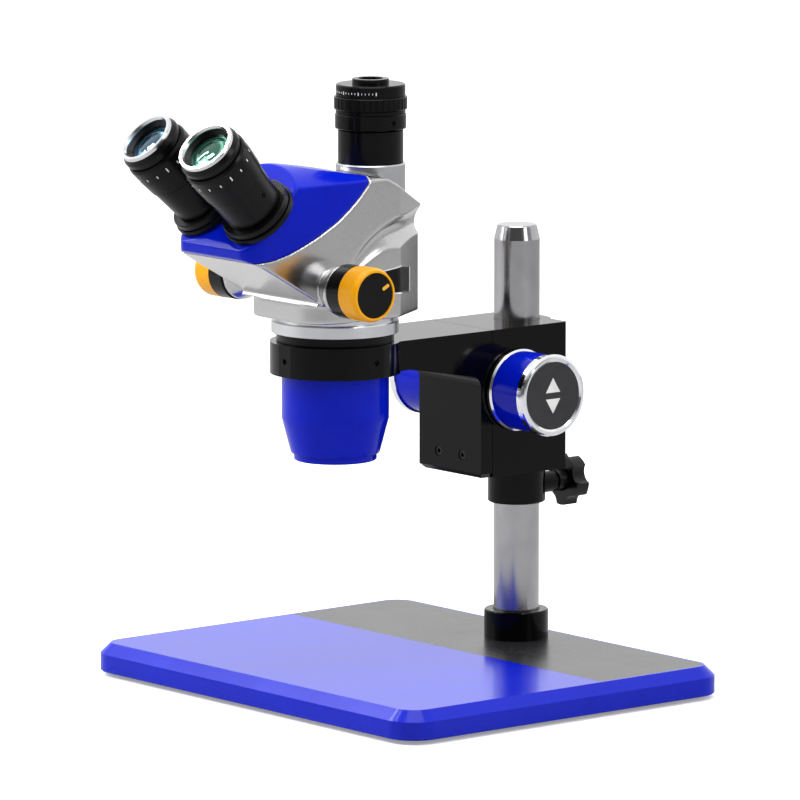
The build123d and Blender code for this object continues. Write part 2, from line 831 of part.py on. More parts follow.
def make_side_plaques():
    """A raised plate on each flank, wrapped round the head's back corner."""
    outline = [(-59.0, 281.0), (-59.0, 297.0), (-38.0, 299.5), (-23.0, 297.0)]
    outline += [(-23.0, 279.0), (-38.0, 280.0)]
    slab = outline_x(outline, -60, 60)
    swollen = extrude(Pos(0, 0, 260) * offset(head_plan(0.0), amount=0.9), 60, dir=(0, 0, 1))
    core = extrude(Pos(0, 0, 250) * head_plan(0.0), 80, dir=(0, 0, 1))
    skin = (slab & swollen) - core
    return sorted(skin.solids(), key=lambda solid: -solid.volume)[:2]


def make_mount_flange():
    points = [
        (31.0, FLANGE_BOTTOM),
        (FLANGE_R - 0.6, FLANGE_BOTTOM),
        (FLANGE_R, FLANGE_BOTTOM + 0.6),
        (FLANGE_R, FLANGE_TOP - 0.6),
        (FLANGE_R - 0.6, FLANGE_TOP),
        (41.0, FLANGE_TOP),
        (41.0, HEAD_BOTTOM),
        (31.0, HEAD_BOTTOM),
    ]
    return upright(0, OPTIC_Y, turned(points))


def make_mount_spigot():
    """Dark turned spigot that sits in the holder ring under the flange."""
    points = [
        (31.0, 226.0),
        (SPIGOT_R, 226.0),
        (SPIGOT_R, BLOCK_TOP + 0.3),
        (40.5, BLOCK_TOP + 0.3),
        (40.5, FLANGE_BOTTOM),
        (31.0, FLANGE_BOTTOM),
    ]
    return upright(0, OPTIC_Y, turned(points))


def make_nosepiece():
    """Coloured lower housing round the two objective tubes."""
    outer = [
        (NOSE_R, 226.0),
        (NOSE_R, 192.0),
        (36.4, 189.6),
        (31.2, 169.8),
        (30.6, 168.0),
        (28.6, 167.6),
        (28.6, 163.6),
        (28.0, NOSE_BOTTOM),
    ]
    inner = [(25.5, NOSE_BOTTOM), (25.5, 168.0), (28.0, 172.0), (33.0, 190.0), (33.0, 226.0)]
    return upright(0, OPTIC_Y, turned(outer + inner))


def make_nose_window():
    return upright(0, OPTIC_Y, rod(25.45, NOSE_BOTTOM + 1.0, NOSE_BOTTOM + 3.5))


def make_objective_cells():
    cells = []
    for x in (-LENS_X, LENS_X):
        cell = tube(11.6, 9.5, 172.0, 262.0)
        cell = cell + tube(9.6, 8.6, 176.0, 178.0)
        cells.append(upright(x, OPTIC_Y, cell))
    return cells


def make_objective_lenses():
    lenses = []
    for x in (-LENS_X, LENS_X):
        lens = turned([(0, 178.4), (9.45, 179.4), (9.45, 182.0), (0, 184.0)])
        lenses.append(upright(x, OPTIC_Y, lens))
    return lenses


def make_lens_frame():
    """Inner frame: a floor plate, two guide rods and a bridge for the prisms."""
    floor = tube(29.6, 1.0, 262.2, 266.4)
    frame = upright(0, OPTIC_Y, floor)
    for x in (-LENS_X, LENS_X):
        frame -= upright(x, OPTIC_Y, rod(9.5, 250, 280))
        frame = frame - upright(x, OPTIC_Y, rod(11.8, 250, 262.5))
    for x in (-26.5, 26.5):
        frame = frame + upright(x, OPTIC_Y, rod(1.9, 264, 330))
    top = box_between(-30, 30, OPTIC_Y - 6, OPTIC_Y + 6, 329, 332)
    for x in (-LENS_X, LENS_X):
        top -= upright(x, OPTIC_Y, rod(8.5, 320, 340))
    return one_solid(frame + top)


def make_erecting_prisms():
    """Two prisms that hand the light over, just in front of the port's base."""
    back = PORT_Y - PORT_R + PRISM_CLEAR
    prisms = []
    for sign in (-1, 1):
        low = box_between(-7.5, 7.5, -PRISM_HALF, PRISM_HALF, 0, 15)
        low = chamfer(low.edges().filter_by(Axis.X).sort_by(Axis.Z)[-1:], 9)
        x = sign * (LENS_X + 1.0)
        prisms.append(Pos(x, back - PRISM_HALF, 332.3) * low)
    return prisms


# ---- zoom ------------------------------------------------------------------


def make_zoom_shaft():
    reach = ZOOM_FACE_X - 4.0
    shaft = along_x(0, ZOOM_Y, ZOOM_Z, rod(ZOOM_SHAFT_R, -reach, reach))
    spot = Plane(origin=(-5, ZOOM_Y, ZOOM_Z), x_dir=(0, 1, 0), z_dir=(1, 0, 0))
    gear = Rot(0, 0, 180 / GEAR_TEETH) * pinion(10)
    return shaft + spot.location * gear


def make_zoom_parts():
    """Black collars, coloured rings and black caps, left and right."""
    start = HEAD_HALF_W - 4.0 + 18.5
    collar = turned(
        [
            (ZOOM_SHAFT_R, start + 0.5),
            (17.6, start + 0.5),
            (18.4, start + 1.3),
            (18.4, 70.8),
            (ZOOM_SHAFT_R, 70.8),
        ]
    )
    ring = turned(
        [
            (ZOOM_SHAFT_R, 70.8),
            (ZOOM_RING_R, 70.8),
            (ZOOM_RING_R, 84.6),
            (ZOOM_RING_R - 1.6, ZOOM_FACE_X),
            (ZOOM_CAP_R + 0.05, ZOOM_FACE_X),
            (ZOOM_CAP_R + 0.05, 84.0),
            (ZOOM_SHAFT_R, 84.0),
        ]
    )
    cap = turned(
        [
            (0, 84.0),
            (ZOOM_CAP_R, 84.0),
            (ZOOM_CAP_R, ZOOM_FACE_X - 0.9),
            (ZOOM_CAP_R - 0.5, ZOOM_FACE_X - 0.4),
            (0, ZOOM_FACE_X - 0.4),
        ]
    )
    made = {}
    for name, part in (("zoom_collars", collar), ("zoom_rings", ring), ("zoom_caps", cap)):
        right = along_x(0, ZOOM_Y, ZOOM_Z, part)
        left = along_minus_x(0, ZOOM_Y, ZOOM_Z, part)
        made[name] = [left, right]
    return made


def make_zoom_carrier():
    """Lens slide: a rack on the front, two lens rings, bores for the guide rods."""
    pitch_y = ZOOM_Y + GEAR_R
    z0 = ZOOM_Z - 8.5
    z1 = ZOOM_Z + 8.5
    half = ZOOM_TRAVEL + 3.1
    teeth = rack_points(-pitch_y, -(pitch_y + 6), ZOOM_Z - half, ZOOM_Z + half, ZOOM_Z)
    mirrored = [(-y, z) for y, z in teeth]
    rack = outline_x(mirrored, -4.0, 4.0)
    stem = box_between(-4, 4, pitch_y + 2.0, OPTIC_Y - 8, ZOOM_Z - 5, ZOOM_Z + 5)
    carrier = rack + stem
    web = box_between(-31, 31, OPTIC_Y - 10.5, OPTIC_Y + 10.5, ZOOM_Z - 4, ZOOM_Z + 4)
    carrier = carrier + web
    for x in (-LENS_X, LENS_X):
        carrier -= upright(x, OPTIC_Y, rod(8.0, z0, z1))
    for x in (-26.5, 26.5):
        carrier -= upright(x, OPTIC_Y, rod(1.95, z0, z1))
    return one_solid(carrier)


def make_zoom_lenses():
    lenses = []
    for x in (-LENS_X, LENS_X):
        lens = turned(
            [(0, ZOOM_Z - 3.2), (7.95, ZOOM_Z - 2.0), (7.95, ZOOM_Z + 2.0), (0, ZOOM_Z + 3.2)]
        )
        lenses.append(upright(x, OPTIC_Y, lens))
    return lenses


# ---- eyepieces -------------------------------------------------------------


def eye_frame(sign):
    """Frame on the disc's seat; Z runs up the tube, Y runs up the slope."""
    toe = radians(EYE_TOE) * sign
    tilt = radians(EYE_TILT)
    up = (sin(toe) * cos(tilt), -cos(toe) * cos(tilt), sin(tilt))
    across = (cos(toe), sin(toe), 0)
    return Plane(origin=(sign * EYE_X, EYE_Y, EYE_Z), x_dir=across, z_dir=up)


def pivot_frame(sign):
    """The same frame moved up the slope to the swing pivot."""
    frame = eye_frame(sign)
    spot = frame.location * Pos(0, PIVOT_UP, 0)
    return Plane(spot)


def make_eye_disc(sign):
    points = [
        (0, 0),
        (DISC_FLANGE_R - 0.6, 0),
        (DISC_FLANGE_R, 0.6),
        (DISC_FLANGE_R, 3.2),
        (DISC_FLANGE_R - 0.6, 3.8),
        (24.2, 3.8),
        (24.2, 5.0),
        (24.9, 5.0),
        (24.9, 8.4),
        (24.2, 9.1),
        (0, 9.1),
    ]
    disc = turned(points)
    disc -= rod(13.0, 4.0, 12.0)
    pivot = Pos(0, PIVOT_UP, 0) * rod(PIVOT_R, -9.0, 1.0)
    disc = disc + pivot
    disc -= Pos(0, PIVOT_UP, 0) * rod(PIVOT_R - 2.0, -10.0, 5.5)
    channel = box_between(-6, 6, 0, PIVOT_UP, 4.0, 8.0)
    disc -= channel
    return eye_frame(sign).location * disc


def make_eye_tube(sign):
    low = 9.1
    points = [
        (TUBE_BORE_R, low),
        (TUBE_LOW_R - 0.8, low),
        (TUBE_LOW_R, low + 0.8),
        (TUBE_LOW_R, 14.0),
        (TUBE_TOP_R, 34.5),
        (TUBE_TOP_R, 37.0),
        (INNER_SLEEVE_R, 37.0),
        (INNER_SLEEVE_R, 62.0),
        (TUBE_BORE_R, 62.0),
    ]
    body = turned(points)
    hole = along_x(0, 0, 25.0, rod(2.15, 14, 30))
    if sign < 0:
        hole = along_minus_x(0, 0, 25.0, rod(2.15, 14, 30))
    return eye_frame(sign).location * (body - hole)


def make_eye_screw(sign):
    if sign > 0:
        one = along_minus_x(TUBE_LOW_R + 0.1, 0, 25.0, grub(5.0))
    else:
        one = along_x(-TUBE_LOW_R - 0.1, 0, 25.0, grub(5.0))
    return eye_frame(sign).location * one


def make_diopter_ring(sign):
    inner = INNER_SLEEVE_R + SHAFT_GAP
    points = [
        (inner, 37.4),
        (21.9, 37.4),
        (22.3, 37.8),
        (DIOPTER_R, 50.0),
        (DIOPTER_R, 60.6),
        (22.2, 62.4),
        (inner, 62.4),
    ]
    return eye_frame(sign).location * turned(points)


def make_eye_collar(sign):
    points = [
        (16.6, 62.4),
        (20.9, 62.4),
        (20.9, 64.2),
        (22.2, 65.0),
        (22.2, 67.8),
        (20.6, 71.0),
        (17.6, 71.0),
        (14.6, 68.4),
        (14.2, 66.2),
        (16.6, 66.2),
    ]
    return eye_frame(sign).location * turned(points)


def make_eye_rim(sign):
    points = [
        (17.6, 71.0),
        (20.5, 71.0),
        (20.5, 72.4),
        (20.1, EYE_LEN),
        (18.0, EYE_LEN),
        (17.0, 71.8),
        (17.0, 71.0),
    ]
    return eye_frame(sign).location * turned(points)


def make_eye_lens(sign):
    """Domed eye lens held under the black collar's inner lip."""
    points = [(0, 62.8), (16.4, 62.8), (16.4, 66.1), (13.9, 66.1)]
    swell = LENS_SWELL_R - sqrt(LENS_SWELL_R**2 - 13.9**2)
    for k in range(1, 7):
        r = 13.9 * (1 - k / 6)
        rise = swell - (LENS_SWELL_R - sqrt(LENS_SWELL_R**2 - r**2))
        points.append((r, 66.1 + rise))
    return eye_frame(sign).location * turned(points)


# ---- camera port -----------------------------------------------------------


def make_port_seat():
    """Dark filler that closes the recess in front of the port."""
    ring = tube(PORT_R + 2.9, PORT_R + 0.1, 350.0, 358.4)
    front_half = box_between(-40, 40, -90, PORT_Y - 10.0, 300, 400)
    return one_solid(upright(0, PORT_Y, ring) & front_half)


def make_port_base():
    points = [
        (18.0, PORT_SEAT_Z - 3.5),
        (19.3, PORT_SEAT_Z - 3.5),
        (19.3, PORT_SEAT_Z),
        (PORT_R, PORT_SEAT_Z),
        (PORT_R, 365.2),
        (PORT_R - 0.8, 366.0),
        (18.0, 366.0),
    ]
    return upright(0, PORT_Y, turned(points))


def make_photo_tube():
    points = [
        (15.0, 347.0),
        (17.95, 347.0),
        (17.95, 366.1),
        (PORT_TUBE_R, 366.1),
        (PORT_TUBE_R, 388.6),
        (20.0, 389.4),
        (18.0, 389.4),
        (18.0, 400.0),
        (15.0, 400.0),
    ]
    return upright(0, PORT_Y, turned(points))


def make_port_clamp():
    points = [
        (18.05, 389.8),
        (PORT_CLAMP_R - 0.5, 389.8),
        (PORT_CLAMP_R, 390.3),
        (PORT_CLAMP_R, 399.5),
        (PORT_CLAMP_R - 0.5, 400.0),
        (18.05, 400.0),
    ]
    ring = turned(points)
    ring -= along_x(0, 0, 395.0, rod(GRUB_R + 0.05, 16, 30))
    return upright(0, PORT_Y, ring)


def make_port_screw():
    one = along_minus_x(PORT_CLAMP_R - 1.0, 0, 395.0, grub(5.0))
    return upright(0, PORT_Y, one)


def make_photo_focus_ring():
    """Ribbed ring that turns about the port's axis."""
    points = [
        (19.05, 403.0),
        (PORT_RING_R - 0.5, 403.0),
        (PORT_RING_R, 403.5),
        (PORT_RING_R, 411.4),
        (PORT_RING_R - 0.5, 411.9),
        (19.05, 411.9),
    ]
    ring = turned(points)
    notch = Pos(PORT_RING_R + 0.35, 0, 407.4) * Cylinder(0.9, 7.0)
    cutters = []
    for k in range(36):
        cutters.append(Rot(0, 0, 10 * k) * notch)
    ring = ring - cutters
    return upright(0, PORT_Y, ring)


def make_camera_mount():
    """Inner sleeve, top ring and threaded camera boss, one turned piece."""
    points = [
        (14.0, 400.4),
        (24.0, 400.4),
        (24.0, 402.6),
        (19.0, 402.6),
        (19.0, 412.3),
        (PORT_R, 412.3),
        (PORT_R, 419.6),
        (PORT_R - 0.8, 420.4),
        (C_MOUNT_R, 420.4),
        (C_MOUNT_R, 423.6),
        (C_MOUNT_R - 0.4, 424.0),
        (8.6, 424.0),
        (8.6, 408.0),
        (14.0, 406.0),
    ]
    return upright(0, PORT_Y, turned(points))


def make_relay_lens():
    lens = turned([(0, 401.6), (13.9, 402.4), (13.9, 404.6), (0, 405.6)])
    return upright(0, PORT_Y, lens)


# ---- assembly --------------------------------------------------------------


def as_list(part):
    """A piece may be one solid or a group of separate ones."""
    if isinstance(part, list):
        found = []
        for item in part:
            found.extend(item.solids())
        return found
    return list(part.solids())


def save(name, part):
    """Moves a piece to the export origin and writes it as one STEP file."""
    lifted = [Pos(0, ORIGIN_BACK, FOOT_H) * s for s in as_list(part)]
    group = lifted[0] if len(lifted) == 1 else Compound(children=lifted)
    group.label = name
    export_step(group, "parts/" + name + ".step")


def main():
    os.makedirs("parts", exist_ok=True)
    outer = head_envelope(0.0)
    inner = head_envelope(HEAD_WALL)
    barrels, bezels, discs = make_knobs()
    parts = {
        "base_plate": make_base_plate(),
        "rear_panel": make_rear_panel(),
        "rubber_feet": make_rubber_feet(),
        "column": make_column(),
        "column_screw": make_column_screw(),
        "foot_collar": make_foot_collar(),
        "guide_bush": make_guide_bush(),
        "focus_housing": make_focus_housing(),
        "clamp_sleeve": make_clamp_sleeve(),
        "knob_seats": make_knob_seats(),
        "clamp_knob": make_clamp_knob(),
        "clamp_stud": make_clamp_stud(),
        "pinion_shaft": make_pinion_shaft(),
        "knob_bezels": bezels,
        "knob_discs": discs,
        "holder_arm": make_holder_arm(),
        "slide_rail": make_slide_rail(),
        "slide_screws": make_slide_screws(),
        "ring_screws": make_ring_screws(),
        "mount_flange": make_mount_flange(),
        "mount_spigot": make_mount_spigot(),
        "nosepiece": make_nosepiece(),
        "nose_window": make_nose_window(),
        "objective_cells": make_objective_cells(),
        "objective_lenses": make_objective_lenses(),
        "lens_frame": make_lens_frame(),
        "erecting_prisms": make_erecting_prisms(),
        "head_shell": make_head_shell(outer, inner),
        "top_cover": make_top_cover(outer, inner),
        "side_plaques": make_side_plaques(),
        "zoom_shaft": make_zoom_shaft(),
        "zoom_carrier": make_zoom_carrier(),
        "zoom_lenses": make_zoom_lenses(),
        "port_seat": make_port_seat(),
        "port_base": make_port_base(),
        "photo_tube": make_photo_tube(),
        "port_clamp": make_port_clamp(),
        "port_screw": make_port_screw(),
        "photo_focus_ring": make_photo_focus_ring(),
        "camera_mount": make_camera_mount(),
        "relay_lens": make_relay_lens(),
    }
    parts.update(barrels)
    parts.update(make_zoom_parts())
    for side, sign in (("left", -1), ("right", 1)):
        parts["eye_disc_" + side] = make_eye_disc(sign)
        parts["eye_tube_" + side] = make_eye_tube(sign)
        parts["eye_screw_" + side] = make_eye_screw(sign)
        parts["diopter_ring_" + side] = make_diopter_ring(sign)
        parts["eye_collar_" + side] = make_eye_collar(sign)
        parts["eye_rim_" + side] = make_eye_rim(sign)
        parts["eye_lens_" + side] = make_eye_lens(sign)
    for name, part in parts.items():
        save(name, part)
    print(len(parts), "nodes written")


if __name__ == "__main__":
    main()
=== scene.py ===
# %% [markdown]
# # Finishing a stereo microscope round its engineering model
#
# The engineering model gives every piece its true size, place and motion. This lesson
# adds what a customer sees: stoving enamel, anodised and turned aluminium, ground
# steel, moulded plastic and coated glass, and the small engraved and printed marks.
# The engineering pieces are loaded first and never moved. Where one of them is too
# plain, a finer piece is made that stands for it.

import math

import bmesh
import bpy
from mathutils import Matrix
from mathutils import Vector


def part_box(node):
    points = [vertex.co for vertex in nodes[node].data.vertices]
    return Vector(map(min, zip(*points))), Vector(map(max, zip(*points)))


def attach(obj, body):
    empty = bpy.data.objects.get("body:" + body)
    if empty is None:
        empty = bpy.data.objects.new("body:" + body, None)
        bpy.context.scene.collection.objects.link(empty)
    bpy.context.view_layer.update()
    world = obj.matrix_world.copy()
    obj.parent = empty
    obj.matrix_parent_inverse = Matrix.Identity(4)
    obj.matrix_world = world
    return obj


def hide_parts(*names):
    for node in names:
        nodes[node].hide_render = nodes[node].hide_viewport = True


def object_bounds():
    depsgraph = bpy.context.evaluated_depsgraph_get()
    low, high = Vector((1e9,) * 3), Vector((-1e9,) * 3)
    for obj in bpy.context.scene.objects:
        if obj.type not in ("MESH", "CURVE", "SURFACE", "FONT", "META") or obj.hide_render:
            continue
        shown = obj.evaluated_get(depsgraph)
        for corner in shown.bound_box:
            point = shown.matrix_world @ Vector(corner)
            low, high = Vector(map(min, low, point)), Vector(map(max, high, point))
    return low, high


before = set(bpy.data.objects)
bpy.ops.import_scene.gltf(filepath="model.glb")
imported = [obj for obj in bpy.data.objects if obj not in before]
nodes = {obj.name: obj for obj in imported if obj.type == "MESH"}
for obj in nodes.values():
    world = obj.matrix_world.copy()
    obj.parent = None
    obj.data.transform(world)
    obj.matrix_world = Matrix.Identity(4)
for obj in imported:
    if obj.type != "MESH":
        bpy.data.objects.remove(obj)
cad_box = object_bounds()
print(len(nodes), "engineering pieces, from", cad_box[0], "to", cad_box[1])

# %% [markdown]
# ## Camera
#
# The microscope is looked at from its right front, a little above the desk, from a
# distance of five metres with a very long lens. That keeps upright edges upright and
# makes near and far parts almost the same size. Depth of field stays off.

# %% Camera
LENS_MM = 375.09
SENSOR_MM = 36.0


def centre_of(name):
    """The middle of an engineering piece."""
    low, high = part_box(name)
    return (low + high) / 2


MIDDLE = Vector((0.0, centre_of("base_plate").y, 0.0))
CAMERA_PLACE = MIDDLE + Vector((4.39494, -3.63177, 1.08053))
CAMERA_TARGET = MIDDLE + Vector((0.34491, -0.28948, 0.27012))

camera_data = bpy.data.cameras.new("long_lens")
camera_data.lens = LENS_MM
camera_data.sensor_width = SENSOR_MM
camera_data.clip_start = 0.5
camera_data.clip_end = 60.0
camera = bpy.data.objects.new("camera", camera_data)
bpy.context.scene.collection.objects.link(camera)
camera.location = CAMERA_PLACE
looking = CAMERA_TARGET - CAMERA_PLACE
camera.rotation_euler = looking.to_track_quat("-Z", "Y").to_euler()
bpy.context.scene.camera = camera
print("camera stands", round(looking.length, 3), "m away")

# %% [markdown]
# ## Helpers for materials
#
# Colours are written as the hex codes that paint makers publish. Those are sRGB, and
# shaders work in linear light, so one function turns them. Another adds a node with
# its settings and its links in one call, which keeps each material readable.

# %% Colour and node helpers


def linear(code):
    """An sRGB hex colour as the linear values a shader needs."""
    values = []
    for start in (1, 3, 5):
        v = int(code[start : start + 2], 16) / 255
        values.append(v / 12.92 if v <= 0.04045 else ((v + 0.055) / 1.055) ** 2.4)
    return (*values, 1.0)


def add(tree, kind, links=None, sockets=None, **properties):
    """One node: its properties, fixed socket values, and links from (node, output)."""
    made = tree.nodes.new(kind)
    for name, value in properties.items():
        setattr(made, name, value)
    for name, value in (sockets or {}).items():
        made.inputs[name].default_value = value
    for name, (source, output) in (links or {}).items():
        tree.links.new(source.outputs[output], made.inputs[name])
    return made


def new_material(name):
    """An empty material with its output and its place coordinates in metres."""
    material = bpy.data.materials.new(name)
    material.use_nodes = True
    tree = material.node_tree
    tree.nodes.clear()
    place = add(tree, "ShaderNodeTexCoord")
    out = add(tree, "ShaderNodeOutputMaterial")
    return material, tree, place, out


MM = 0.001


def per_metre(size_mm):
    """The scale of a pattern whose features are this many millimetres apart."""
    return 1.0 / (size_mm * MM)


def remap(tree, source, output, low, high):
    """A pattern from 0 to 1 turned into a range of values."""
    return add(
        tree,
        "ShaderNodeMapRange",
        links={"Value": (source, output)},
        sockets={"To Min": low, "To Max": high},
    )


def tint(tree, source, output, dark, light):
    """A pattern from 0 to 1 turned into a run between two close colours."""
    ramp = add(tree, "ShaderNodeValToRGB", links={"Fac": (source, output)})
    ramp.color_ramp.elements[0].position = 0.25
    ramp.color_ramp.elements[0].color = linear(dark)
    ramp.color_ramp.elements[1].position = 0.75
    ramp.color_ramp.elements[1].color = linear(light)
    return ramp


print("a 0.5 mm pattern has scale", per_metre(0.5))

# %% [markdown]
# ## Stoving enamel
#
# Blue and black parts are cast or machined aluminium, sprayed with polyester enamel
# and baked. The spray leaves a faint orange peel of about 1.5 mm, the pigment is even,
# and the surface is glossy but not a mirror. A slow noise also varies the roughness a
# little, as wiping and handling do.

# %% Enamel


def enamel(name, dark, light, rough, peel_mm=1.5, peel=0.05, specular=0.5, coat=0.0):
    """Baked enamel: even pigment, faint orange peel, uneven gloss."""
    material, tree, place, out = new_material(name)
    broad = add(
        tree,
        "ShaderNodeTexNoise",
        links={"Vector": (place, "Object")},
        sockets={"Scale": per_metre(40), "Detail": 3.0, "Roughness": 0.6},
    )
    fine = add(
        tree,
        "ShaderNodeTexNoise",
        links={"Vector": (place, "Object")},
        sockets={"Scale": per_metre(peel_mm), "Detail": 2.0, "Roughness": 0.5},
    )
    colour = tint(tree, broad, "Fac", dark, light)
    gloss = remap(tree, broad, "Fac", rough * 0.85, rough * 1.2)
    bump = add(
        tree,
        "ShaderNodeBump",
        links={"Height": (fine, "Fac")},
        sockets={"Strength": peel, "Distance": 0.02 * MM * peel_mm},
    )
    shader = add(
        tree,
        "ShaderNodeBsdfPrincipled",
        links={
            "Base Color": (colour, "Color"),
            "Roughness": (gloss, "Result"),
            "Normal": (bump, "Normal"),
        },
        sockets={
            "IOR": 1.5,
            "Specular IOR Level": specular,
            "Coat Weight": coat,
            "Coat Roughness": 0.06,
        },
    )
    tree.links.new(shader.outputs["BSDF"], out.inputs["Surface"])
    return material


blue_enamel = enamel("blue_polyester_enamel", "#0216B0", "#031DBE", 0.14, specular=0.12)
base_enamel = enamel(
    "blue_enamel_on_base_plate", "#0217B4", "#031EC2", 0.17, 2.0, specular=0.22
)
black_enamel = enamel(
    "black_polyester_enamel", "#030303", "#060606", 0.1, 1.8, specular=0.12
)
grey_enamel = enamel("dark_grey_enamel", "#1E1E20", "#252527", 0.26, 1.2)
print("four enamels")

# %% [markdown]
# ## Metallic lacquer
#
# The head is a zinc casting sprayed with silver lacquer: aluminium flakes of a few
# hundredths of a millimetre under clear coat. The flakes are too fine to show, so they
# are drawn about 0.35 mm across, and each one tilts and brightens the surface a little.

# %% Silver lacquer


def flake_lacquer(name, dark, light, rough):
    """Aluminium flakes under a clear coat."""
    material, tree, place, out = new_material(name)
    flakes = add(
        tree,
        "ShaderNodeTexVoronoi",
        links={"Vector": (place, "Object")},
        sockets={"Scale": per_metre(0.35)},
    )
    broad = add(
        tree,
        "ShaderNodeTexNoise",
        links={"Vector": (place, "Object")},
        sockets={"Scale": per_metre(25), "Detail": 2.0},
    )
    split = add(tree, "ShaderNodeSeparateColor", links={"Color": (flakes, "Color")})
    colour = tint(tree, split, "Red", dark, light)
    gloss = remap(tree, broad, "Fac", rough * 0.9, rough * 1.15)
    bump = add(
        tree,
        "ShaderNodeBump",
        links={"Height": (split, "Green")},
        sockets={"Strength": 0.06, "Distance": 0.01 * MM},
    )
    shader = add(
        tree,
        "ShaderNodeBsdfPrincipled",
        links={
            "Base Color": (colour, "Color"),
            "Roughness": (gloss, "Result"),
            "Normal": (bump, "Normal"),
        },
        sockets={"Metallic": 1.0, "Coat Weight": 0.2, "Coat Roughness": 0.08},
    )
    tree.links.new(shader.outputs["BSDF"], out.inputs["Surface"])
    return material


silver_lacquer = flake_lacquer("silver_flake_lacquer", "#AEADAD", "#BFBEBE", 0.22)
print("one lacquer")

# %% [markdown]
# ## Turned, ground and anodised metal
#
# A lathe tool leaves a fine spiral that runs round the part's axis, both on its side
# and on its end face. One helper draws it: the distance along the axis plus the
# distance from it gives rings on both. Real feeds are 0.05 to 0.2 mm; they are drawn
# at 0.6 mm and up, or they would vanish at this viewing distance.

# %% Lathe marks


def lathe_rings(tree, place, origin, axis, feed_mm):
    """A 0 to 1 wave in rings about an axis through origin."""
    flat = add(
        tree,
        "ShaderNodeVectorMath",
        links={0: (place, "Object")},
        operation="SUBTRACT",
    )
    flat.inputs[1].default_value = origin
    along = add(tree, "ShaderNodeVectorMath", links={0: (flat, 0)}, operation="DOT_PRODUCT")
    along.inputs[1].default_value = axis
    cross = add(tree, "ShaderNodeVectorMath", links={0: (flat, 0)}, operation="CROSS_PRODUCT")
    cross.inputs[1].default_value = axis
    radius = add(tree, "ShaderNodeVectorMath", links={0: (cross, 0)}, operation="LENGTH")
    both = add(tree, "ShaderNodeMath", links={0: (along, "Value"), 1: (radius, "Value")})
    wobble = add(
        tree,
        "ShaderNodeTexNoise",
        links={"Vector": (place, "Object")},
        sockets={"Scale": per_metre(6), "Detail": 2.0},
    )
    shift = remap(tree, wobble, "Fac", 0.0, feed_mm * MM)
    total = add(tree, "ShaderNodeMath", links={0: (both, 0), 1: (shift, "Result")})
    turns = add(tree, "ShaderNodeMath", links={0: (total, 0)}, operation="MULTIPLY")
    turns.inputs[1].default_value = 2 * math.pi / (feed_mm * MM)
    wave = add(tree, "ShaderNodeMath", links={0: (turns, 0)}, operation="SINE")
    return add(
        tree,
        "ShaderNodeMapRange",
        links={"Value": (wave, 0)},
        sockets={"From Min": -1.0, "From Max": 1.0},
    )


UP = (0.0, 0.0, 1.0)
ACROSS = (1.0, 0.0, 0.0)


def turned_metal(name, dark, light, rough, origin, axis, **options):
    """Bare or anodised metal straight from the lathe."""
    feed_mm = options.get("feed_mm", 0.6)
    depth = options.get("depth", 0.08)
    metallic = options.get("metallic", 1.0)
    material, tree, place, out = new_material(name)
    rings = lathe_rings(tree, place, origin, axis, feed_mm)
    smear = add(
        tree,
        "ShaderNodeTexNoise",
        links={"Vector": (place, "Object")},
        sockets={"Scale": per_metre(12), "Detail": 4.0},
    )
    colour = tint(tree, smear, "Fac", dark, light)
    gloss = remap(tree, smear, "Fac", rough * 0.8, rough * 1.25)
    bump = add(
        tree,
        "ShaderNodeBump",
        links={"Height": (rings, "Result")},
        sockets={"Strength": depth, "Distance": 0.01 * MM},
    )
    shader = add(
        tree,
        "ShaderNodeBsdfPrincipled",
        links={
            "Base Color": (colour, "Color"),
            "Roughness": (gloss, "Result"),
            "Normal": (bump, "Normal"),
        },
        sockets={"Metallic": metallic},
    )
    if metallic < 0.5:
        shader.inputs["Specular IOR Level"].default_value = options.get("specular", 0.4)
    tree.links.new(shader.outputs["BSDF"], out.inputs["Surface"])
    return material


COLUMN_AXIS = centre_of("column")
OPTIC_AXIS = centre_of("mount_flange")
PORT_AXIS = centre_of("port_base")
FOCUS_AXIS = centre_of("pinion_shaft")
ZOOM_AXIS = centre_of("zoom_shaft")

ground_steel = turned_metal(
    "hard_chromed_ground_steel", "#9C9C9E", "#A8A8AA", 0.16, COLUMN_AXIS, UP, depth=0.05
)
flange_metal = turned_metal(
    "turned_aluminium_flange", "#C6C7CA", "#D4D5D8", 0.2, OPTIC_AXIS, UP
)
port_metal = turned_metal(
    "turned_aluminium_port", "#B0B1B4", "#BEBFC2", 0.25, PORT_AXIS, UP
)
bezel_metal = turned_metal(
    "polished_aluminium_bezel", "#DCDDE0", "#E8E9EC", 0.1, FOCUS_AXIS, ACROSS, depth=0.04
)
screw_steel = turned_metal(
    "black_oxide_screw_steel", "#2A2A2C", "#343436", 0.35, PORT_AXIS, UP, depth=0.02
)
inner_metal = turned_metal(
    "plain_milled_aluminium", "#B4B5B8", "#C2C3C6", 0.35, OPTIC_AXIS, UP
)
bush_brass = turned_metal("turned_brass_bush", "#B8924A", "#C8A257", 0.3, COLUMN_AXIS, UP)
disc_lacquer = turned_metal(
    "spun_grey_lacquer",
    "#303032",
    "#38383A",
    0.32,
    FOCUS_AXIS,
    ACROSS,
    metallic=0.2,
    depth=0.12,
    specular=0.25,
)
print("column stands at", COLUMN_AXIS)

# %% [markdown]
# ## Black anodising
#
# The eyepieces, the camera port and the seats are turned aluminium, blasted with glass
# beads and anodised black. The dye is not quite neutral or even, and the satin surface
# spreads highlights into long soft streaks. Each eyepiece has its own axis, so each
# gets its own material.

# %% Anodised black


def anodised(name, origin, axis, rough=0.26, dark="#070708", light="#0C0C0D"):
    """Bead-blasted aluminium, anodised black."""
    return turned_metal(
        name, dark, light, rough, origin, axis, metallic=0.0, depth=0.1, specular=0.14
    )


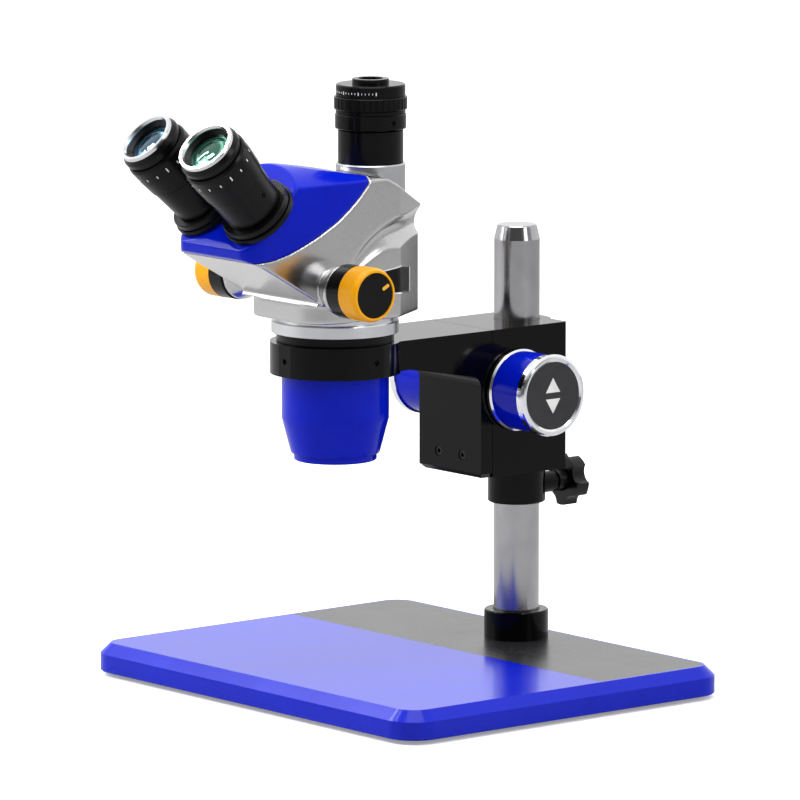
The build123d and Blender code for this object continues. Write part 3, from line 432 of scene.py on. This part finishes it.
EYE_TILT = math.radians(45.0)
EYE_TOE = math.radians(6.0)


def eye_axis(sign):
    """The way an eyepiece points, out of the head and up to the eye."""
    toe = EYE_TOE * sign
    flat = math.cos(EYE_TILT)
    return Vector((math.sin(toe) * flat, -math.cos(toe) * flat, math.sin(EYE_TILT)))


EYE_SEAT = {
    1: MIDDLE + Vector((0.0272, -0.1498, 0.3446)),
    -1: MIDDLE + Vector((-0.0272, -0.1498, 0.3446)),
}
SIDES = {"left": -1, "right": 1}

port_black = anodised("anodised_black_port", PORT_AXIS, UP, 0.2)
optic_black = anodised("anodised_black_spigot", OPTIC_AXIS, UP, 0.25)
seat_black = anodised("anodised_black_knob_seat", FOCUS_AXIS, ACROSS, 0.25)
eye_black = {}
for side, sign in SIDES.items():
    eye_black[side] = anodised(
        "anodised_black_eyepiece_" + side, EYE_SEAT[sign], eye_axis(sign), 0.26
    )
print("eyepieces point along", eye_axis(1))

# %% [markdown]
# ## Moulded plastic and rubber
#
# Knobs and caps are ABS, moulded in a spark-eroded tool: the fine grain of the tool,
# about 0.5 mm here, breaks the highlight up. The feet are nitrile rubber, which is
# duller, with a dusty, uneven look.

# %% Plastic and rubber


def moulded(name, dark, light, rough, grain_mm=0.5, grain=0.15, specular=0.5):
    """Moulded plastic or rubber with a grained surface."""
    material, tree, place, out = new_material(name)
    texture = add(
        tree,
        "ShaderNodeTexNoise",
        links={"Vector": (place, "Object")},
        sockets={"Scale": per_metre(grain_mm), "Detail": 3.0, "Roughness": 0.7},
    )
    broad = add(
        tree,
        "ShaderNodeTexNoise",
        links={"Vector": (place, "Object")},
        sockets={"Scale": per_metre(15), "Detail": 2.0},
    )
    colour = tint(tree, broad, "Fac", dark, light)
    gloss = remap(tree, texture, "Fac", rough * 0.8, rough * 1.2)
    bump = add(
        tree,
        "ShaderNodeBump",
        links={"Height": (texture, "Fac")},
        sockets={"Strength": grain, "Distance": 0.02 * MM},
    )
    shader = add(
        tree,
        "ShaderNodeBsdfPrincipled",
        links={
            "Base Color": (colour, "Color"),
            "Roughness": (gloss, "Result"),
            "Normal": (bump, "Normal"),
        },
        sockets={"IOR": 1.54, "Specular IOR Level": specular},
    )
    tree.links.new(shader.outputs["BSDF"], out.inputs["Surface"])
    return material


amber_abs = moulded("amber_moulded_abs", "#F0A200", "#F8AC02", 0.28, specular=0.2)
black_abs = moulded("black_moulded_abs", "#060606", "#0B0B0B", 0.26, specular=0.14)
knob_phenolic = moulded("black_phenolic_knob", "#070707", "#0C0C0D", 0.22, specular=0.2)
nitrile = moulded("black_nitrile_rubber", "#141414", "#1D1D1D", 0.7, 0.8, 0.3, 0.3)
white_ink = moulded("white_printing_ink", "#D8D8D6", "#ECECEA", 0.5, 0.4, 0.1)
amber_ink = moulded("amber_printing_ink", "#F0A818", "#F6B428", 0.5, 0.4, 0.1)
print("six moulded or printed finishes")

# %% [markdown]
# ## Coated glass
#
# The eye lenses carry an anti-reflection coating, a thin film that sends back a little
# green and blue. The dark tube behind the glass is painted in as shade: the glass is
# drawn as a dark body under a bright polished surface, with the film on the shader's own
# thin film sockets and bright painted reflection rings where the inner lens edges would
# shine.

# %% Glass


def coated_lens(name, origin, axis, painted_depth_shade, glow, film_nm):
    """An eye lens: painted shade for the dark depth, painted reflection rings for the inner
    edges, coated surface.
    """
    material, tree, place, out = new_material(name)
    flat = add(
        tree, "ShaderNodeVectorMath", links={0: (place, "Object")}, operation="SUBTRACT"
    )
    flat.inputs[1].default_value = origin
    cross = add(tree, "ShaderNodeVectorMath", links={0: (flat, 0)}, operation="CROSS_PRODUCT")
    cross.inputs[1].default_value = axis
    radius = add(tree, "ShaderNodeVectorMath", links={0: (cross, 0)}, operation="LENGTH")
    share = add(tree, "ShaderNodeMapRange", links={"Value": (radius, "Value")})
    share.inputs["From Max"].default_value = 16.4 * MM
    # Painted shade and painted reflection: a dark middle and two bright rings by radius, put
    # into the base colour
    ramp = add(tree, "ShaderNodeValToRGB", links={"Fac": (share, "Result")})
    shade_and_glint_stops = ((0.0, painted_depth_shade), (0.5, painted_depth_shade), (0.62, glow), (0.7, painted_depth_shade), (0.84, glow), (1.0, painted_depth_shade))
    points = ramp.color_ramp.elements
    points[0].color = linear(shade_and_glint_stops[0][1])
    points[1].position = 1.0
    points[1].color = linear(shade_and_glint_stops[-1][1])
    for position, code in shade_and_glint_stops[1:-1]:
        points.new(position).color = linear(code)
    shader = add(
        tree,
        "ShaderNodeBsdfPrincipled",
        links={"Base Color": (ramp, "Color")},
        sockets={
            "Metallic": 0.85,
            "Roughness": 0.05,
            "IOR": 1.6,
            "Coat Weight": 0.6,
            "Coat Roughness": 0.02,
            "Thin Film Thickness": film_nm,
            "Thin Film IOR": 1.38,
        },
    )
    tree.links.new(shader.outputs["BSDF"], out.inputs["Surface"])
    return material


def clear_glass(name, shade):
    """Plain optical glass with a faint polishing haze."""
    material, tree, place, out = new_material(name)
    haze = add(
        tree,
        "ShaderNodeTexNoise",
        links={"Vector": (place, "Object")},
        sockets={"Scale": per_metre(10)},
    )
    gloss = remap(tree, haze, "Fac", 0.0, 0.05)
    shader = add(
        tree,
        "ShaderNodeBsdfPrincipled",
        links={"Roughness": (gloss, "Result")},
        sockets={"Base Color": linear(shade), "IOR": 1.52, "Transmission Weight": 1.0},
    )
    tree.links.new(shader.outputs["BSDF"], out.inputs["Surface"])
    return material


# The dark colours are painted shade for the tube seen through the glass; the bright ones are
# painted reflection rings
lens_glass = {
    "right": coated_lens(
        "coated_eye_lens_right_painted_shade_and_glint", EYE_SEAT[1], eye_axis(1), "#1E5A4C", "#7FD6B4", 520.0
    ),
    "left": coated_lens(
        "coated_eye_lens_left_painted_shade_and_glint", EYE_SEAT[-1], eye_axis(-1), "#1C4660", "#74BCE0", 480.0
    ),
}
optical_glass = clear_glass("optical_crown_glass", "#EAF4F2")
print("three kinds of glass")

# %% [markdown]
# ## Dress the engineering pieces
#
# Every piece that stays as it is gets its finish here.

# %% Finishes for the engineering pieces
FINISH = {
    "base_plate": base_enamel,
    "rear_panel": grey_enamel,
    "rubber_feet": nitrile,
    "column": ground_steel,
    "column_screw": screw_steel,
    "foot_collar": black_enamel,
    "guide_bush": bush_brass,
    "focus_housing": black_enamel,
    "clamp_sleeve": black_enamel,
    "knob_seats": seat_black,
    "clamp_knob": knob_phenolic,
    "clamp_stud": screw_steel,
    "pinion_shaft": screw_steel,
    "focus_knob_left": blue_enamel,
    "focus_knob_right": blue_enamel,
    "knob_bezels": bezel_metal,
    "knob_discs": disc_lacquer,
    "holder_arm": black_enamel,
    "slide_rail": inner_metal,
    "slide_screws": screw_steel,
    "ring_screws": screw_steel,
    "mount_flange": flange_metal,
    "mount_spigot": optic_black,
    "nosepiece": blue_enamel,
    "nose_window": optical_glass,
    "objective_cells": optic_black,
    "objective_lenses": optical_glass,
    "lens_frame": inner_metal,
    "erecting_prisms": optical_glass,
    "head_shell": silver_lacquer,
    "top_cover": blue_enamel,
    "side_plaques": black_abs,
    "port_seat": port_black,
    "port_base": port_metal,
    "photo_tube": port_black,
    "port_clamp": port_black,
    "port_screw": screw_steel,
    "camera_mount": port_black,
    "relay_lens": optical_glass,
    "photo_focus_ring": port_black,
    "zoom_shaft": screw_steel,
    "zoom_collars": black_abs,
    "zoom_rings": amber_abs,
    "zoom_caps": black_abs,
    "zoom_carrier": inner_metal,
    "zoom_lenses": optical_glass,
}
for side in SIDES:
    FINISH["eye_disc_" + side] = eye_black[side]
    FINISH["eye_tube_" + side] = eye_black[side]
    FINISH["eye_screw_" + side] = screw_steel
    FINISH["diopter_ring_" + side] = eye_black[side]
    FINISH["eye_collar_" + side] = black_abs
    FINISH["eye_rim_" + side] = flange_metal
    FINISH["eye_lens_" + side] = lens_glass[side]


def dress(piece, material):
    """Gives a piece one finish."""
    piece.data.materials.clear()
    piece.data.materials.append(material)


for name, material in FINISH.items():
    dress(nodes[name], material)
print(len(FINISH), "pieces dressed,", sorted(set(nodes) - set(FINISH)), "left")

# %% [markdown]
# ## Marks
#
# Index marks are printed or engraved and filled with paint. Here each one is a thin
# plate that stands a few hundredths of a millimetre proud, because a real shape holds
# in every view. One helper makes a plate from an outline on any flat or round seat.

# %% A thin printed mark


def plate(name, outline, thickness, place, material, body):
    """An outline in a frame's X and Y, given a thickness along its Z."""
    mesh = bpy.data.meshes.new(name)
    build = bmesh.new()
    low = [build.verts.new((x, y, 0.0)) for x, y in outline]
    high = [build.verts.new((x, y, thickness)) for x, y in outline]
    build.faces.new(list(reversed(low)))
    build.faces.new(high)
    count = len(outline)
    for i in range(count):
        j = (i + 1) % count
        build.faces.new((low[i], low[j], high[j], high[i]))
    build.transform(place)
    build.to_mesh(mesh)
    build.free()
    made = bpy.data.objects.new(name, mesh)
    bpy.context.scene.collection.objects.link(made)
    made.data.materials.append(material)
    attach(made, body)
    return made


def seat_frame(origin, normal, up):
    """A frame at origin whose Z leaves the surface and whose Y runs along up."""
    z = Vector(normal).normalized()
    x = Vector(up).cross(z).normalized()
    y = z.cross(x)
    turn = Matrix((x, y, z)).transposed().to_4x4()
    return Matrix.Translation(Vector(origin)) @ turn


def box_outline(width, height):
    """A rectangle about the middle."""
    x = width / 2
    y = height / 2
    return [(-x, -y), (x, -y), (x, y), (-x, y)]


def capsule_outline(length, width, steps=10):
    """A long shape with round ends, along Y."""
    r = width / 2
    reach = length / 2 - r
    points = []
    for i in range(steps + 1):
        turn = math.pi * i / steps
        points.append((r * math.cos(turn), reach + r * math.sin(turn)))
    for i in range(steps + 1):
        turn = math.pi + math.pi * i / steps
        points.append((r * math.cos(turn), -reach + r * math.sin(turn)))
    return points


print("the plate helper is ready")

# %% [markdown]
# Each zoom cap has an amber pointer near its edge. Each focus disc has a printed pair
# of triangles, up and down, since those knobs raise and lower the head.

# %% Pointers and focus triangles
ZOOM_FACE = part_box("zoom_caps")[1].x
DISC_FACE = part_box("knob_discs")[1].x
POINTER_REACH = 10.6 * MM
POINTER_SIZE = (6.4 * MM, 2.4 * MM)
TRIANGLE = [(-6.5 * MM, 2.2 * MM), (6.5 * MM, 2.2 * MM), (0.0, 12.5 * MM)]
lean = math.radians(62)
toward_mark = Vector((0.0, math.sin(lean), math.cos(lean)))
for side, sign in SIDES.items():
    centre = Vector((sign * ZOOM_FACE, ZOOM_AXIS.y, ZOOM_AXIS.z))
    spot = seat_frame(centre + toward_mark * POINTER_REACH, (sign, 0, 0), toward_mark)
    plate(
        "zoom_pointer_" + side,
        capsule_outline(*POINTER_SIZE),
        0.25 * MM,
        spot,
        amber_ink,
        "zoom_drive",
    )
    for word, way in (("up", 1), ("down", -1)):
        centre = Vector((sign * DISC_FACE, FOCUS_AXIS.y, FOCUS_AXIS.z))
        spot = seat_frame(centre, (sign, 0, 0), (0, 0, way))
        name = "focus_mark_" + word + "_" + side
        plate(name, TRIANGLE, 0.06 * MM, spot, white_ink, "focus_drive")
print("four triangles and two pointers")

# %% [markdown]
# The dioptre rings have a printed scale: eight short strokes and one long one, which is
# the zero. The camera port has a finer scale on the steady part above its ribbed ring,
# with a longer stroke at every fifth place.

# %% Scales


def stroke_on_ring(name, foot, axis, start, turn, radius, size, body):
    """A stroke on a round side, turned from a start direction about the axis."""
    out_way = Matrix.Rotation(math.radians(turn), 3, axis) @ start
    spot = seat_frame(foot + out_way * radius, out_way, axis)
    return plate(name, box_outline(*size), 0.08 * MM, spot, white_ink, body)


DIOPTER_R = 23.19 * MM
DIOPTER_STEP = 22
DIOPTER_ZERO = -119
PORT_R = 23.87 * MM
PORT_STEP = 6
PORT_START = -30

for side, sign in SIDES.items():
    axis = eye_axis(sign)
    start = Vector(UP).cross(axis).normalized()
    start = axis.cross(start).normalized()
    for step in range(-4, 5):
        long = step == 0
        size = (0.9 * MM, (3.6 if long else 2.0) * MM)
        foot = EYE_SEAT[sign] + axis * (55.2 if long else 54.4) * MM
        name = "diopter_stroke_" + side + "_" + str(step + 4)
        turn = DIOPTER_ZERO + DIOPTER_STEP * step
        stroke_on_ring(name, foot, axis, start, turn, DIOPTER_R, size, "diopter_" + side)
scale_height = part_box("camera_mount")[1].z - 8.6 * MM
scale_foot = Vector((PORT_AXIS.x, PORT_AXIS.y, scale_height))
for step in range(16):
    size = ((0.5 if step % 5 else 0.8) * MM, (1.2 if step % 5 else 2.2) * MM)
    turn = PORT_START + PORT_STEP * step
    front = Vector((0.0, -1.0, 0.0))
    name = "port_stroke_" + str(step)
    stroke_on_ring(name, scale_foot, Vector(UP), front, turn, PORT_R, size, "head")
print("two dioptre scales and one port scale")

# %% [markdown]
# ## Rounded castings
#
# A die casting has no sharp edges: every corner has a radius of about a millimetre, and
# paint makes it softer still. The two head castings are made again from fine voxels and
# smoothed, which rounds each edge by about that much and leaves the flats flat.

# %% Soft edges on the head castings


def rounded_casting(name, voxel_mm, passes, body):
    """A casting with every edge softened. It stands for the engineering piece."""
    made = bpy.data.objects.new("cast_" + name, nodes[name].data.copy())
    bpy.context.scene.collection.objects.link(made)
    made.matrix_world = nodes[name].matrix_world.copy()
    grain = made.modifiers.new("voxels", "REMESH")
    grain.mode = "VOXEL"
    grain.voxel_size = voxel_mm * MM
    grain.use_smooth_shade = True
    ease = made.modifiers.new("ease", "SMOOTH")
    ease.factor = 0.5
    ease.iterations = passes
    graph = bpy.context.evaluated_depsgraph_get()
    mesh = bpy.data.meshes.new_from_object(made.evaluated_get(graph))
    made.modifiers.clear()
    made.data = mesh
    dress(made, FINISH[name])
    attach(made, body)
    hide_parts(name)
    return made


cast_shell = rounded_casting("head_shell", 0.8, 8, "head")
cast_cover = rounded_casting("top_cover", 0.8, 8, "head")
print(len(cast_shell.data.polygons), "faces on the shell")

# %% [markdown]
# ## Side plaques
#
# The plaque on each flank is a stamped plate: a bright raised rim round a black printed
# field. The rim is the plate's own outer face, and the field is inset into it.

# %% Plaques with a bright rim
RIM_WIDTH = 1.0 * MM
FIELD_DEPTH = 0.25 * MM
plaque_mesh = nodes["side_plaques"].data.copy()
plaque = bpy.data.objects.new("rimmed_plaques", plaque_mesh)
bpy.context.scene.collection.objects.link(plaque)
plaque.matrix_world = nodes["side_plaques"].matrix_world.copy()
dress(plaque, bezel_metal)
plaque.data.materials.append(black_abs)
work = bmesh.new()
work.from_mesh(plaque_mesh)
bmesh.ops.remove_doubles(work, verts=work.verts, dist=0.02 * MM)
work.normal_update()
for sign in (-1, 1):
    field = []
    for face in work.faces:
        middle = face.calc_center_median()
        outward = Vector((sign, 0.35, 0.0)).normalized()
        if middle.x * sign > 0 and face.normal.dot(outward) > 0.75:
            field.append(face)
    bmesh.ops.inset_region(
        work, faces=field, thickness=RIM_WIDTH, depth=-FIELD_DEPTH, use_even_offset=True
    )
    for face in field:
        if face.is_valid:
            face.material_index = 1
work.to_mesh(plaque_mesh)
work.free()
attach(plaque, "head")
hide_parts("side_plaques")
print("plaques done")

# %% [markdown]
# ## Floor and light
#
# The stand is on a plain floor that looks like white paper, while the pieces reflect it
# as grey, so that silver and black keep their contrast. The light is a bright room
# behind and above the microscope and a darker one in front, with soft boxes at the
# sides and above and two narrow strips that the lenses and the lacquer mirror. Glossy
# black and blue then stay deep where they face forward and catch white where they
# face up.

# %% Floor
floor_mesh = bpy.data.meshes.new("floor")
floor_build = bmesh.new()
bmesh.ops.create_grid(floor_build, x_segments=1, y_segments=1, size=30.0)
floor_build.to_mesh(floor_mesh)
floor_build.free()
floor = bpy.data.objects.new("floor", floor_mesh)
floor.location = (0.0, 0.0, cad_box[0].z - 0.0001)
bpy.context.scene.collection.objects.link(floor)
floor_paint, floor_tree, floor_place, floor_out = new_material("pale_floor")
floor_seen = add(
    floor_tree,
    "ShaderNodeBsdfPrincipled",
    sockets={
        "Base Color": linear("#F2F2F2"),
        "Roughness": 0.9,
        "Specular IOR Level": 0.1,
        "Emission Color": linear("#FFFFFF"),
        "Emission Strength": 0.3,
    },
)
floor_bounce = add(
    floor_tree,
    "ShaderNodeBsdfDiffuse",
    sockets={"Color": linear("#BDBDBD")},
)
floor_path = add(floor_tree, "ShaderNodeLightPath")
floor_mix = add(
    floor_tree,
    "ShaderNodeMixShader",
    links={0: (floor_path, "Is Camera Ray"), 1: (floor_bounce, 0), 2: (floor_seen, 0)},
)
floor_tree.links.new(floor_mix.outputs["Shader"], floor_out.inputs["Surface"])
floor.data.materials.append(floor_paint)

# %% Light
world = bpy.data.worlds.new("studio")
bpy.context.scene.world = world
world.use_nodes = True
sky = world.node_tree
sky.nodes.clear()
way = add(sky, "ShaderNodeTexCoord")
split_way = add(sky, "ShaderNodeSeparateXYZ", links={"Vector": (way, "Generated")})
toward = add(
    sky, "ShaderNodeVectorMath", links={0: (way, "Generated")}, operation="DOT_PRODUCT"
)
toward.inputs[1].default_value = (0.77, -0.63, 0.0)
dark_side = add(
    sky,
    "ShaderNodeMapRange",
    links={"Value": (toward, "Value")},
    sockets={"From Min": -0.1, "From Max": 0.6, "To Min": 1.0, "To Max": 0.1},
)
overhead = add(
    sky,
    "ShaderNodeMapRange",
    links={"Value": (split_way, "Z")},
    sockets={"From Min": 0.35, "From Max": 0.8, "To Min": 0.0, "To Max": 1.0},
)
room = add(
    sky,
    "ShaderNodeMath",
    links={0: (dark_side, "Result"), 1: (overhead, "Result")},
    operation="MAXIMUM",
)
light_path = add(sky, "ShaderNodeLightPath")
seen = add(
    sky,
    "ShaderNodeMath",
    links={0: (room, 0), 1: (light_path, "Is Camera Ray")},
    operation="MAXIMUM",
)
lit = add(sky, "ShaderNodeMath", links={0: (seen, 0)}, operation="MULTIPLY")
lit.inputs[1].default_value = 1.2
glow = add(sky, "ShaderNodeBackground", links={"Strength": (lit, 0)})
glow.inputs["Color"].default_value = (1.0, 1.0, 1.0, 1.0)
sky_out = add(sky, "ShaderNodeOutputWorld", links={"Surface": (glow, "Background")})


def soft_box(name, place, aim, size, power):
    """A square soft box that points at aim."""
    lamp = bpy.data.lights.new(name, "AREA")
    lamp.shape = "RECTANGLE"
    lamp.size = size[0]
    lamp.size_y = size[1]
    lamp.energy = power
    made = bpy.data.objects.new(name, lamp)
    made.location = place
    made.rotation_euler = (Vector(aim) - Vector(place)).to_track_quat("-Z", "Y").to_euler()
    bpy.context.scene.collection.objects.link(made)
    return made


soft_box("left_soft_box", (-1.6, -1.6, 1.5), (0, 0, 0.25), (1.0, 1.4), 26.0)
soft_box("right_soft_box", (1.9, 0.4, 1.3), (0, 0, 0.25), (0.6, 1.4), 12.0)
soft_box("top_soft_box", (0.2, -0.1, 2.4), (0, 0, 0.2), (1.6, 1.6), 22.0)
for number, (across, height) in enumerate(((-0.5, 1.2), (0.1, 1.45))):
    strip_place = (-1.7 + across, -0.9 - 0.5 * number, height + 0.6)
    soft_box(
        "strip_" + str(number), strip_place, (0, -0.1, 0.4), (0.12, 1.3), 16.0
    )
bpy.context.scene.view_settings.view_transform = "Standard"
print("floor and light are set")
